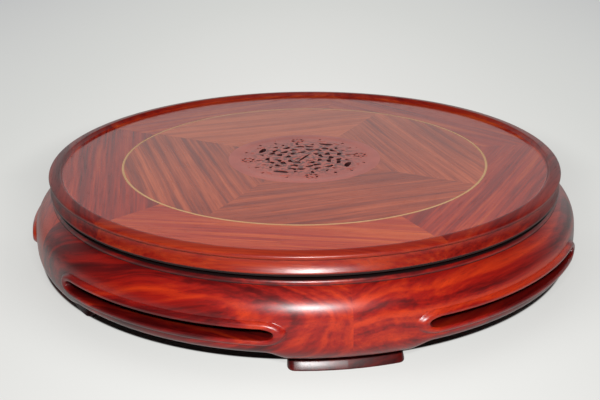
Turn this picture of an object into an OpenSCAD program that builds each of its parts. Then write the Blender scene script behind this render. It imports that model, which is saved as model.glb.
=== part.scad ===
// Round hardwood turntable stand: a lipped top of joined segments with a brass
// line and a pierced medallion, turning on a ball ring over a bellied base of
// five joined segments that stands on five pads.
// Heights are measured up from the table, radii from the turning axis.

/* [Turntable top] */
// Diameter over the raised lip
top_d = 300; // [280:1:330]
// Thickness from the flat field down to the underside
top_t = 9.6; // [9:0.1:13]
// Rise of the lip above the field
lip_rise = 2.4; // [1.8:0.1:4]
// Width of the lip from its inner foot to the outer edge
lip_w = 7.7; // [6:0.1:10]
// Radius of the small roll along the lip's outer edge
lip_roll_r = 1.3; // [1:0.1:1.6]
// How far the roll's middle lies below the lip's top
lip_roll_drop = 1.7; // [1.4:0.1:2.2]
// How far the band below the lip is set back from the lip
band_setback = 2; // [1.5:0.1:3]
// Radius of the bead along the lower edge
edge_bead_r = 3.1; // [2.4:0.1:3.6]
// How far the bead's crest is set back from the lip
edge_bead_setback = 0.4; // [0.2:0.1:1]
// Angle by which the top is turned against the base at rest
top_turn = 19; // [0:1:71]

/* [Inlay and medallion] */
// Outer diameter of the brass line
brass_d = 217; // [200:1:226]
// Width of the brass line
brass_w = 1.3; // [0.8:0.1:2.5]
// Thickness of panel, brass line and medallion
panel_t = 4; // [3:0.1:5]
// Diameter of the carved medallion
medallion_d = 91; // [84:1:110]
// Width of the medallion's plain border
medallion_border_w = 4; // [3:0.1:6]
// Diameter of the small eyes pierced in the medallion
eye_d = 4; // [3:0.1:4.4]
// Radius of the inner ring of eyes
eye_ring_r = 10; // [9:0.5:11]
// Step from one ring of eyes to the next
eye_ring_step = 6; // [5.4:0.1:6.4]
// Radius of the ring of long piercings and flower heads
flower_ring_r = 31; // [29:0.5:34]
// Width of a long piercing
piercing_w = 3.4; // [2:0.1:4]
// Angle that a long piercing spans
piercing_angle = 22; // [14:1:26]
// Radius of a flower head, to the middle of its petals
flower_r = 4.2; // [3.6:0.1:4.6]
// Diameter of a pierced petal
petal_d = 2.8; // [2:0.1:3]
// Diameter of the board that carries frame, panel and medallion
core_d = 250; // [244:1:256]
// Angle of the panel's first mitre against the frame's first joint
panel_turn = 35; // [0:1:89]

/* [Base] */
// Diameter over the belly
base_d = 320; // [312:1:340]
// Height of the base's collar above the table
base_h = 49.4; // [47:0.1:54]
// Height of the apron's lower edge above the table
apron_z = 14.4; // [12:0.1:15]
// Depth of the belly's widest part below the collar's top
belly_drop = 24.4; // [23:0.1:26]
// Radius of the belly's long side curve
side_r = 70; // [60:1:90]
// Radius of the belly's shoulder
shoulder_r = 17.4; // [16:0.1:19]
// Rise of the collar above the shoulder's crown
collar_rise = 1.7; // [1.2:0.1:2.4]
// Radius of the apron's lower edge
apron_r = 5.7; // [4.5:0.1:6.5]
// Diameter of the collar under the top
collar_d = 297.6; // [294:0.1:300]
// Radius of the collar's upper edge
collar_edge_r = 1.6; // [1:0.1:2]
// Thickness of the belly's wall at its widest
wall_t = 10.5; // [9:0.1:12]
// Clear gap between collar and turning top
spin_gap = 1.5; // [1:0.1:3]

/* [Slots] */
// Height of a slot
slot_h = 6.2; // [5:0.1:7]
// Height of the slots' middle above the belly's widest part
slot_rise = 1.3; // [0.6:0.1:1.8]
// Angle between two neighbouring slots
slot_gap_angle = 26.5; // [24:0.5:34]
// How far the border round a slot stands proud
border_proud = 2.2; // [1.6:0.1:3]
// Width of the raised border round a slot
border_w = 3.3; // [2.8:0.1:4]
// Bevel along the border's outer edge
border_bevel = 1.2; // [0.8:0.1:1.5]

/* [Feet] */
// Thickness of a foot pad
pad_t = 4.5; // [3.5:0.1:6]
// Diameter over the pads
pad_d = 292; // [284:1:300]
// Length of a pad along the ring
pad_l = 58; // [50:1:66]
// Depth of a pad towards the axis
pad_depth = 20; // [16:0.5:24]
// Radius of a pad's corners
pad_corner_r = 4; // [2:0.5:6]
// Radius of a pad's upper and lower edges
pad_edge_r = 1.4; // [0.8:0.1:1.7]
// How far the neck is set back from the pad
neck_setback = 3; // [2:0.1:5]
// How far the neck is set back from the pad on the inner side
neck_in_setback = 2; // [1.5:0.1:3]
// Radius of the curve from belly to neck
foot_r = 15; // [14.2:0.1:16]
// How far that curve is set back from the belly's widest part
foot_setback = 0.7; // [0.5:0.1:1.5]
// How far that curve's centre lies below the belly's widest part
foot_drop = 3; // [2.6:0.1:3.4]
// Length of a foot at its neck
foot_neck_l = 60; // [56:1:66]
// Length of a foot where it meets the apron
foot_apron_l = 82; // [76:1:90]

/* [Deck and bearing] */
// Thickness of the deck board
deck_t = 8; // [6:0.1:8.5]
// Thickness of the ring's rim round the deck board
rim_t = 17.3; // [15.5:0.1:18.5]
// Thickness of the ledge that carries the deck
ledge_t = 4; // [3:0.1:4.5]
// Width of the ledge under the deck's rim
ledge_w = 12; // [10:0.1:14]
// Height of the bearing between deck and top
bearing_h = 8; // [7.6:0.1:9]
// Diameter of the circle of balls
ball_circle_d = 200; // [180:1:206]
// Diameter of a ball
ball_d = 5; // [4:0.1:5.4]
// Number of balls
ball_count = 24; // [16:1:28]
// Width of a bearing ring
ring_w = 11; // [9:0.1:12]
// Gap between a bearing ring and the board that turns past it
ring_gap = 1; // [0.8:0.1:1.4]
// Gap between the two bearing rings
race_gap = 3; // [2.6:0.1:3.4]
// Thickness of the ball cage
cage_t = 1.4; // [1:0.1:1.6]
// Gap between the ball cage and the boards
cage_gap = 0.6; // [0.4:0.1:0.8]
// Number of screws in each bearing ring
ring_screw_count = 6; // [4:1:8]

/* [Joinery] */
// Thickness of the loose tenons between frame segments
frame_tenon_t = 3; // [2.5:0.1:3.5]
// Width of the loose tenons between frame segments
frame_tenon_w = 12; // [10:0.1:14]
// Length of the loose tenons between frame segments
frame_tenon_l = 30; // [24:1:36]
// Height of the loose tenons between base segments
base_tenon_t = 9; // [8:0.1:10]
// Width of the loose tenons between base segments
base_tenon_w = 9; // [8:0.1:10]
// Length of the loose tenons between base segments
base_tenon_l = 36; // [30:1:42]
// Diameter of a screw's shank
screw_d = 3.2; // [2.6:0.1:3.6]
// Diameter of a screw's countersunk head
screw_head_d = 6; // [5:0.1:6.4]
// How far a screw's tip stays below the far face
screw_end_gap = 2; // [1.5:0.1:2.5]
// Clearance round glued tenons, screws and boards
fit_gap = 0.1; // [0.05:0.01:0.15]
// Clearance round a ball
ball_gap = 0.2; // [0.15:0.01:0.3]

/* [Hidden] */
$fn = 96;
segments = 5;
seg_angle = 360 / segments;
sectors = 4;
sector_angle = 360 / sectors;

eps = 0.01;
front = -90;
function dir(a) = [cos(a), sin(a)];

// Levels, from the table up
under_z = base_h + spin_gap;
field_z = under_z + top_t;
lip_z = field_z + lip_rise;
core_top_z = field_z - panel_t;
deck_top_z = under_z - bearing_h;
deck_z = deck_top_z - deck_t;
roof_z = deck_z - ledge_t;
belly_z = base_h - belly_drop;
shoulder_z = base_h - collar_rise - shoulder_r;
slot_z = belly_z + slot_rise;

// Radii of the top
top_r = top_d / 2;
brass_r = brass_d / 2;
panel_r = brass_r - brass_w;
medallion_r = medallion_d / 2;
core_r = core_d / 2;
lip_foot_r = top_r - lip_w;
lip_slope_w = lip_rise / 2;
band_r = top_r - band_setback;
lip_roll_c = [top_r - lip_roll_r, lip_z - lip_roll_drop];
bead_c = [top_r - edge_bead_setback - edge_bead_r, under_z + edge_bead_r];
cove_r = edge_bead_r;
cove_c = [
    band_r + cove_r,
    bead_c.y + sqrt((edge_bead_r + cove_r) ^ 2 - (band_r + cove_r - bead_c.x) ^ 2)
];

// Curves of the base: side, shoulder and lower edge touch each other
belly_r = base_d / 2;
collar_r = collar_d / 2;
deck_r = collar_r - rim_t;
rabbet_r = deck_r + fit_gap;
ledge_r = deck_r - ledge_w;
hollow_r = belly_r - wall_t;
hollow_fillet_r = wall_t / 2;
side_c = [belly_r - side_r, belly_z];
shoulder_c = [side_c.x + sqrt((side_r - shoulder_r) ^ 2 - (shoulder_z - belly_z) ^ 2), shoulder_z];
apron_c = [side_c.x + sqrt((side_r - apron_r) ^ 2 - (apron_z + apron_r - belly_z) ^ 2), apron_z + apron_r];
shoulder_a = atan2(shoulder_c.y - side_c.y, shoulder_c.x - side_c.x);
apron_a = atan2(apron_c.y - side_c.y, apron_c.x - side_c.x);

// Feet
pad_r = pad_d / 2;
pad_in_r = pad_r - pad_depth;
neck_r = pad_r - neck_setback;
foot_c = [belly_r - foot_setback - foot_r, belly_z - foot_drop];
foot_z = foot_c.y - foot_r;
foot_in_r = pad_in_r + neck_in_setback;

// Slots
slot_r = slot_h / 2;
slot_l = belly_r + wall_t - pad_in_r;
slot_angle = seg_angle - slot_gap_angle;
slot_end_a = asin(slot_r / belly_r);
border_half_h = slot_r + border_w;
border_in_r = belly_r - wall_t / 2;
border_h = wall_t / 2 + border_proud;
border_step = 0.05;

// Bearing
ball_r = ball_d / 2;
ball_circle_r = ball_circle_d / 2;
ball_z = deck_top_z + bearing_h / 2;
ring_h = bearing_h - ring_gap;
ring_in_r = ball_circle_r - race_gap / 2;
ring_out_r = ball_circle_r + race_gap / 2;
cage_h = bearing_h - 2 * cage_gap;
race_depth = ball_r + ball_gap - race_gap / 2;

// Screws
ring_screw_angle = 360 / ring_screw_count;
top_ring_screw_l = ring_h + core_top_z - under_z - screw_end_gap;
base_ring_screw_l = deck_t + ring_h - screw_end_gap;
deck_screw_l = ledge_t + deck_t - screw_end_gap;
deck_screw_r = ledge_r + ledge_w / 2;
deck_screw_spread = seg_angle / 6;

// Sections, drawn with x as radius and y as height

module belly_section() {
    upper = side_c + side_r * dir(shoulder_a);
    lower = side_c + side_r * dir(apron_a);
    difference() {
        union() {
            intersection() {
                translate(side_c) circle(side_r, $fn = 240);
                polygon([
                    side_c,
                    side_c + 2 * side_r * dir(apron_a),
                    side_c + 2 * side_r * dir(shoulder_a)
                ]);
            }
            translate(shoulder_c) circle(shoulder_r);
            translate(apron_c) circle(apron_r);
            polygon([
                [ledge_r, apron_z], [apron_c.x, apron_z], apron_c, lower, upper,
                shoulder_c, [shoulder_c.x, shoulder_c.y + shoulder_r],
                [ledge_r, shoulder_c.y + shoulder_r]
            ]);
            collar_section();
        }
        square([ledge_r, base_h + eps]);
        translate([0, deck_z]) square([rabbet_r, base_h]);
        hollow_section();
    }
}

module collar_section() {
    translate([ledge_r, shoulder_z])
        square([collar_r - ledge_r, base_h - shoulder_z - collar_edge_r]);
    translate([ledge_r, shoulder_z])
        square([collar_r - ledge_r - collar_edge_r, base_h - shoulder_z]);
    translate([collar_r - collar_edge_r, base_h - collar_edge_r]) circle(collar_edge_r, $fn = 48);
}

module hollow_section() {
    square([hollow_r, roof_z - hollow_fillet_r]);
    square([hollow_r - hollow_fillet_r, roof_z]);
    translate([hollow_r - hollow_fillet_r, roof_z - hollow_fillet_r]) circle(hollow_fillet_r, $fn = 48);
}

module foot_section() {
    intersection() {
        union() {
            translate(foot_c) circle(foot_r);
            translate([foot_in_r, foot_z]) square([foot_c.x - foot_in_r, roof_z - foot_z]);
            translate([foot_c.x, foot_c.y]) square([hollow_r - foot_c.x, roof_z - foot_c.y]);
        }
        translate([foot_in_r, foot_z]) square([belly_r, roof_z - foot_z]);
    }
    translate([foot_in_r, pad_t / 2]) square([neck_r - foot_in_r, roof_z - pad_t / 2]);
}

module pad_section() {
    flat = pad_t - 2 * pad_edge_r;
    translate([pad_in_r, pad_edge_r]) square([pad_depth, flat]);
    translate([pad_in_r + pad_edge_r, 0]) square([pad_depth - 2 * pad_edge_r, pad_t]);
    for (r = [pad_in_r + pad_edge_r, pad_r - pad_edge_r], z = [pad_edge_r, pad_t - pad_edge_r])
        translate([r, z]) circle(pad_edge_r, $fn = 48);
}

module frame_section() {
    polygon([
        [core_r + fit_gap, under_z], [bead_c.x, under_z], bead_c, [bead_c.x, cove_c.y],
        [band_r, cove_c.y], [band_r, lip_roll_c.y], lip_roll_c, [lip_roll_c.x, lip_roll_c.y + lip_roll_r],
        [lip_foot_r + lip_slope_w, lip_z], [lip_foot_r, field_z], [brass_r, field_z],
        [brass_r, core_top_z], [core_r + fit_gap, core_top_z]
    ]);
    translate(bead_c) circle(edge_bead_r, $fn = 64);
    translate(lip_roll_c) circle(lip_roll_r, $fn = 48);
    difference() {
        polygon([bead_c, (bead_c * cove_r + cove_c * edge_bead_r) / (cove_r + edge_bead_r), cove_c,
            [bead_c.x, cove_c.y]]);
        translate(cove_c) circle(cove_r, $fn = 64);
    }
}

// Shared shapes

module sector(start, angle) {
    rotate(start) rotate_extrude(angle = angle, $fn = 180) children();
}

// A loose tenon lies across the joint on +X
module tenon(w, l, t, r, z) {
    translate([r - w / 2, -l / 2, z - t / 2]) cube([w, l, t]);
}

// A countersunk screw points up from its head at the origin
module screw(l) {
    head_h = (screw_head_d - screw_d) / 2;
    slot_w = screw_d / 4;
    difference() {
        union() {
            cylinder(h = head_h, d1 = screw_head_d, d2 = screw_d, $fn = 32);
            cylinder(h = l, d = screw_d, $fn = 32);
        }
        translate([-screw_head_d, -slot_w / 2, -eps]) cube([2 * screw_head_d, slot_w, head_h / 2]);
    }
}

module screw_hole(l) {
    head_h = (screw_head_d - screw_d) / 2;
    head_d = screw_head_d + 2 * fit_gap;
    hole_d = screw_d + 2 * fit_gap;
    translate([0, 0, -eps]) cylinder(h = head_h + eps, d1 = head_d, d2 = hole_d, $fn = 32);
    translate([0, 0, -eps]) cylinder(h = l + fit_gap + eps, d = hole_d, $fn = 32);
}

module on_ring(count, r, z, start = 0) {
    for (i = [0:count - 1])
        rotate(start + i * 360 / count) translate([r, 0, z]) children();
}

module at_deck_screws(start) {
    for (side = [-1, 1])
        rotate(start + side * deck_screw_spread) translate([deck_screw_r, 0, roof_z]) children();
}

// Places of the joinery

frame_tenon_r = (core_r + band_r) / 2;
frame_tenon_z = (under_z + field_z) / 2;
base_tenon_r = (rabbet_r + collar_r) / 2;
base_tenon_z = (deck_z + base_h) / 2;
base_ring_screw_r = ring_in_r - (ring_w + race_depth) / 2;
top_ring_screw_r = ring_out_r + (ring_w + race_depth) / 2;

// Base

// Half of the foot at the joint on +X, on the side that turns away from it
module half_foot(side) {
    half_a = asin(foot_apron_l / 2 / pad_r);
    intersection() {
        sector(side > 0 ? 0 : -half_a, half_a) foot_section();
        rotate([90, 0, 90]) linear_extrude(belly_r) polygon([
            [-foot_neck_l / 2, 0], [foot_neck_l / 2, 0], [foot_neck_l / 2, pad_t],
            [foot_apron_l / 2, apron_z], [foot_apron_l / 2, roof_z],
            [-foot_apron_l / 2, roof_z], [-foot_apron_l / 2, apron_z], [-foot_neck_l / 2, pad_t]
        ]);
    }
    half_pad(side);
}

module half_pad(side) {
    half_l = pad_l / 2;
    half_a = asin(half_l / pad_in_r);
    corner_y = half_l - pad_corner_r;
    intersection() {
        sector(side > 0 ? 0 : -half_a, half_a) pad_section();
        linear_extrude(pad_t) {
            translate([0, -corner_y]) square([pad_r, 2 * corner_y]);
            translate([0, -half_l])
                square([sqrt((pad_r - pad_corner_r) ^ 2 - corner_y ^ 2), pad_l]);
            for (y = [-corner_y, corner_y])
                translate([sqrt((pad_r - pad_corner_r) ^ 2 - y ^ 2), y]) circle(pad_corner_r, $fn = 48);
        }
    }
}

// The slot and its border lie in the middle of the segment, on +X
module slot() {
    straight = slot_angle - 2 * slot_end_a;
    sector(-straight / 2, straight)
        translate([pad_in_r, slot_z - slot_r]) square([slot_l, slot_h]);
    for (a = [-straight / 2, straight / 2])
        rotate(a) translate([pad_in_r, 0, slot_z]) rotate([0, 90, 0])
            cylinder(h = slot_l, r = slot_r, $fn = 64);
}

// A raised border with bevelled edges, through which the slot is then cut
module slot_border() {
    straight = slot_angle - 2 * slot_end_a;
    bevel_h = border_h - border_bevel;
    face_half_h = border_half_h - border_bevel;
    sector(-straight / 2, straight) translate([border_in_r, slot_z]) polygon([
        [0, -border_half_h], [bevel_h, -border_half_h], [border_h, -face_half_h],
        [border_h, face_half_h], [bevel_h, border_half_h], [0, border_half_h]
    ]);
    for (a = [-straight / 2, straight / 2])
        rotate(a) translate([border_in_r, 0, slot_z]) rotate([0, 90, 0]) {
            cylinder(h = bevel_h - border_step, r = border_half_h - border_step);
            translate([0, 0, bevel_h - border_step])
                cylinder(h = border_bevel, r1 = border_half_h - border_step,
                    r2 = face_half_h - border_step);
        }
}

// A segment with its slot in the middle, on +X, and half a foot at each end
module segment_solid() {
    end_a = seg_angle / 2;
    difference() {
        union() {
            sector(-end_a, seg_angle) belly_section();
            rotate(-end_a) half_foot(1);
            rotate(end_a) half_foot(-1);
            slot_border();
        }
        slot();
        for (a = [-end_a, end_a])
            rotate(a) tenon(base_tenon_w + 2 * fit_gap, base_tenon_l + 2 * fit_gap,
                base_tenon_t + 2 * fit_gap, base_tenon_r, base_tenon_z);
        at_deck_screws(0) screw_hole(deck_screw_l);
    }
}

module base_segment(i) {
    color("#8c2a1c") rotate(front + (i - 0.5) * seg_angle) segment_solid();
}

module base_tenons() {
    color("#6e2418") for (i = [0:segments - 1])
        rotate(front + i * seg_angle)
            tenon(base_tenon_w, base_tenon_l, base_tenon_t, base_tenon_r, base_tenon_z);
}

module deck_board() {
    color("#7a3a26") difference() {
        translate([0, 0, deck_z]) cylinder(h = deck_t, r = deck_r, $fn = 180);
        on_ring(ring_screw_count, base_ring_screw_r, deck_z) screw_hole(base_ring_screw_l);
        for (i = [1:segments]) at_deck_screws(front + (i - 0.5) * seg_angle) screw_hole(deck_screw_l);
    }
}

module deck_screws() {
    color("#b8a26a") for (i = [1:segments])
        at_deck_screws(front + (i - 0.5) * seg_angle) screw(deck_screw_l);
}

// Bearing

module bearing_base_ring() {
    color("#c4c6c8") difference() {
        sector(0, 360) difference() {
            translate([ring_in_r - ring_w, deck_top_z]) square([ring_w, ring_h]);
            translate([ball_circle_r, ball_z]) circle(ball_r + ball_gap, $fn = 64);
        }
        on_ring(ring_screw_count, base_ring_screw_r, deck_z) screw_hole(base_ring_screw_l);
    }
}

module bearing_base_screws() {
    color("#9aa0a4") on_ring(ring_screw_count, base_ring_screw_r, deck_z) screw(base_ring_screw_l);
}

module bearing_top_ring() {
    color("#c4c6c8") difference() {
        sector(0, 360) difference() {
            translate([ring_out_r, under_z - ring_h]) square([ring_w, ring_h]);
            translate([ball_circle_r, ball_z]) circle(ball_r + ball_gap, $fn = 64);
        }
        on_ring(ring_screw_count, top_ring_screw_r, under_z - ring_h) screw_hole(top_ring_screw_l);
    }
}

module bearing_top_screws() {
    color("#9aa0a4") on_ring(ring_screw_count, top_ring_screw_r, under_z - ring_h)
        screw(top_ring_screw_l);
}

module ball_cage() {
    color("#e6e2d4") difference() {
        sector(0, 360) translate([ball_circle_r - cage_t / 2, ball_z - cage_h / 2])
            square([cage_t, cage_h]);
        on_ring(ball_count, ball_circle_r - cage_t, ball_z) rotate([0, 90, 0])
            cylinder(h = 2 * cage_t, r = ball_r + ball_gap, $fn = 48);
    }
}

module bearing_balls() {
    color("#d8dadc") on_ring(ball_count, ball_circle_r, ball_z) sphere(ball_r, $fn = 48);
}

// Turntable top

module core_board() {
    color("#5a1f16") difference() {
        translate([0, 0, under_z]) cylinder(h = core_top_z - under_z, r = core_r, $fn = 180);
        on_ring(ring_screw_count, top_ring_screw_r, under_z - ring_h) screw_hole(top_ring_screw_l);
    }
}

module frame_segment(i) {
    end_a = seg_angle / 2;
    color("#a8442c") rotate(front + top_turn + (i - 0.5) * seg_angle) difference() {
        sector(-end_a, seg_angle) frame_section();
        for (a = [-end_a, end_a])
            rotate(a) tenon(frame_tenon_w + 2 * fit_gap, frame_tenon_l + 2 * fit_gap,
                frame_tenon_t + 2 * fit_gap, frame_tenon_r, frame_tenon_z);
    }
}

module frame_tenons() {
    color("#6e2418") for (i = [0:segments - 1])
        rotate(front + top_turn + i * seg_angle)
            tenon(frame_tenon_w, frame_tenon_l, frame_tenon_t, frame_tenon_r, frame_tenon_z);
}

module panel_sector(i) {
    start = front + top_turn + panel_turn + (i - 1) * sector_angle;
    color("#b06a50") sector(start, sector_angle)
        translate([medallion_r, core_top_z]) square([panel_r - medallion_r, panel_t]);
}

module brass_line() {
    color("#d8b060") sector(0, 360) translate([panel_r, core_top_z]) square([brass_w, panel_t]);
}

module carved_medallion() {
    turn = front + top_turn + panel_turn;
    color("#9c5040") difference() {
        translate([0, 0, core_top_z]) cylinder(h = panel_t, r = medallion_r, $fn = 180);
        translate([0, 0, core_top_z - eps]) rotate(turn) linear_extrude(panel_t + 2 * eps) openwork();
        border_groove();
    }
}

module border_groove() {
    groove_w = medallion_border_w / 5;
    sector(0, 360) translate([medallion_r - medallion_border_w, field_z - groove_w])
        square([groove_w, groove_w + eps]);
}

// Openwork: a slit between two leaves in the middle, three rings of scroll eyes,
// then long piercings in turn with flower heads, with a leaf eye between each two
module openwork() {
    piercings = 4;
    square([eye_ring_r, eye_d / 2], center = true);
    for (k = [0:2]) {
        count = 4 * (k + 2);
        ring_of_eyes(count, eye_ring_r + k * eye_ring_step, eye_d, 180 * k / count);
    }
    for (k = [0:piercings - 1]) rotate(k * 360 / piercings) {
        long_piercing();
        rotate(180 / piercings) translate([flower_ring_r, 0]) ring_of_eyes(5, flower_r, petal_d, 0);
    }
    ring_of_eyes(2 * piercings, flower_ring_r, petal_d, 90 / piercings);
}

module long_piercing() {
    intersection() {
        difference() {
            circle(flower_ring_r + piercing_w / 2);
            circle(flower_ring_r - piercing_w / 2);
        }
        polygon([[0, 0], medallion_r * dir(-piercing_angle / 2), medallion_r * dir(piercing_angle / 2)]);
    }
}

module ring_of_eyes(count, r, d, start) {
    for (k = [0:count - 1])
        rotate(start + k * 360 / count) translate([r, 0]) circle(d = d, $fn = 24);
}

for (i = [1:segments]) base_segment(i);
base_tenons();
deck_board();
deck_screws();
bearing_base_ring();
bearing_base_screws();
ball_cage();
bearing_balls();
bearing_top_ring();
bearing_top_screws();
core_board();
frame_tenons();
for (i = [1:segments]) frame_segment(i);
for (i = [1:sectors]) panel_sector(i);
brass_line();
carved_medallion();
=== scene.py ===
import math

import bmesh
import bpy
from mathutils import Euler, Matrix, Vector


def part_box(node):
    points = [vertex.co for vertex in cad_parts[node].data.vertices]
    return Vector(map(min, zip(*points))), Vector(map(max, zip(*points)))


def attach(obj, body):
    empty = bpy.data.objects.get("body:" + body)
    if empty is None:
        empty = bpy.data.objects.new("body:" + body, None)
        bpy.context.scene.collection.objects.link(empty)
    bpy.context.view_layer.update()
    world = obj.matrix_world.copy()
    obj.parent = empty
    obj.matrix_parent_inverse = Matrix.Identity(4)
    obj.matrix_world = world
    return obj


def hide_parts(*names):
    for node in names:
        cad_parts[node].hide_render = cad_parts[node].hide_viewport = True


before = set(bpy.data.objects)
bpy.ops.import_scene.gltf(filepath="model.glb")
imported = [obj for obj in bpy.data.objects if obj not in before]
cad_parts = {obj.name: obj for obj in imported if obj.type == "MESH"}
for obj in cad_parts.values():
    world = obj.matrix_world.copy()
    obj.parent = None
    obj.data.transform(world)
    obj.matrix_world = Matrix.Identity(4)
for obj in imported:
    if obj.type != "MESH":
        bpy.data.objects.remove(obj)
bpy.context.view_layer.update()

mm = 0.001
front = -90.0  # the middle of a foot faces this way
fold = 5  # segments in the base and in the frame of the top
share = 360 / fold
topTurn = 19.0  # from the base's joints to the frame's
panelTurn = 35.0  # from the frame's joints to the panel's mitres
sharpAngle = 38.0  # steeper edges stay sharp


def lowOf(node):
    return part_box(node)[0].z / mm


def topOf(node):
    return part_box(node)[1].z / mm


fieldZ = topOf("panel_sector_1")
lipZ = topOf("frame_segment_1")
underZ = lowOf("frame_segment_1")
seatZ = lowOf("panel_sector_1")
collarZ = topOf("base_segment_1")
deckZ = lowOf("deck_board")
print("frame loaded, field at", round(fieldZ, 2), "mm, collar at", round(collarZ, 2), "mm")


# Shader helpers

class Wire:  # one socket of a material, with sums written as sums
    def __init__(self, paint, socket):
        self.paint = paint
        self.socket = socket

    def reckon(self, operation, first, second):
        return self.paint.node("ShaderNodeMath", {"operation": operation}, {0: first, 1: second})

    def __add__(self, other):
        return self.reckon("ADD", self, other)

    def __radd__(self, other):
        return self.reckon("ADD", other, self)

    def __sub__(self, other):
        return self.reckon("SUBTRACT", self, other)

    def __rsub__(self, other):
        return self.reckon("SUBTRACT", other, self)

    def __mul__(self, other):
        return self.reckon("MULTIPLY", self, other)

    def __rmul__(self, other):
        return self.reckon("MULTIPLY", other, self)


class Paint:  # the node tree of a material or of the world
    def __init__(self, name, tree=None):
        if tree is None:
            self.material = bpy.data.materials.new(name)
            self.material.use_nodes = True
            tree = self.material.node_tree
        self.tree = tree
        self.tree.nodes.clear()

    def node(self, kind, settings=None, sockets=None, out=0):
        made = self.tree.nodes.new(kind)
        for key, value in (settings or {}).items():
            if key == "stops":
                ramp = made.color_ramp
                while len(ramp.elements) < len(value):
                    ramp.elements.new(1.0)
                for stop, (place, colour) in zip(ramp.elements, value):
                    stop.position = place
                    stop.color = (*colour, 1.0)
            else:
                setattr(made, key, value)
        for key, value in (sockets or {}).items():
            if isinstance(value, Wire):
                self.tree.links.new(value.socket, made.inputs[key])
            else:
                made.inputs[key].default_value = value
        return Wire(self, made.outputs[out]) if made.outputs else None

    def objectPlace(self):
        return self.node("ShaderNodeTexCoord", {}, {}, "Object")

    def part(self, vector, axis):
        return self.node("ShaderNodeSeparateXYZ", {}, {0: vector}, axis)

    def stretch(self, vector, by):
        return self.node("ShaderNodeVectorMath", {"operation": "MULTIPLY"}, {0: vector, 1: by})

    def shift(self, vector, by):
        return self.node("ShaderNodeVectorMath", {"operation": "ADD"}, {0: vector, 1: by})

    def length(self, vector):
        return self.node("ShaderNodeVectorMath", {"operation": "LENGTH"}, {0: vector}, "Value")

    def fromAxis(self, place):
        return self.length(self.stretch(place, (1.0, 1.0, 0.0)))

    def noise(self, vector, detail=2.0, roughness=0.5, out="Fac"):
        return self.node("ShaderNodeTexNoise", {"noise_dimensions": "3D"},
                         {"Vector": vector, "Scale": 1.0, "Detail": detail, "Roughness": roughness}, out)

    def step(self, value, low, high):
        return self.node("ShaderNodeMapRange", {"interpolation_type": "SMOOTHSTEP"},
                         {"Value": value, "From Min": low, "From Max": high})

    def mix(self, factor, first, second, blend="MIX"):
        return self.node("ShaderNodeMix", {"data_type": "RGBA", "blend_type": blend},
                         {0: factor, 6: first, 7: second}, 2)

    def ramp(self, factor, stops):
        return self.node("ShaderNodeValToRGB", {"stops": stops}, {"Fac": factor}, "Color")

    def bump(self, height, strength, distance):
        return self.node("ShaderNodeBump", {}, {"Height": height, "Strength": strength, "Distance": distance})

    def finish(self, sockets):
        surface = self.node("ShaderNodeBsdfPrincipled", {}, sockets)
        self.node("ShaderNodeOutputMaterial", {}, {"Surface": surface})
        return self.material


def rgb(red, green, blue):  # a colour as a paint chart gives it, made linear for the shader
    return tuple(((c / 255 + 0.055) / 1.055) ** 2.4 if c > 10 else c / 255 / 12.92 for c in (red, green, blue))


def solid(colour):
    return (*colour, 1.0)


# Materials

grain = {
    "wave": (7, 16, 16), "lines": (6, 240, 240), "fibre": (22, 800, 800), "cloud": (11, 34, 34),  # along, across
    "pores": (90, 2600, 2600), "poreEdge": (0.6, 0.72), "poreTint": 0.35, "poreRough": 0.15,
    "poreBump": 0.15, "poreDepth": 0.0001,
    "dull": (0.85, 1.0), "dullRough": 0.4,  # where the painted shade is this deep, there is no lacquer
}


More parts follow.
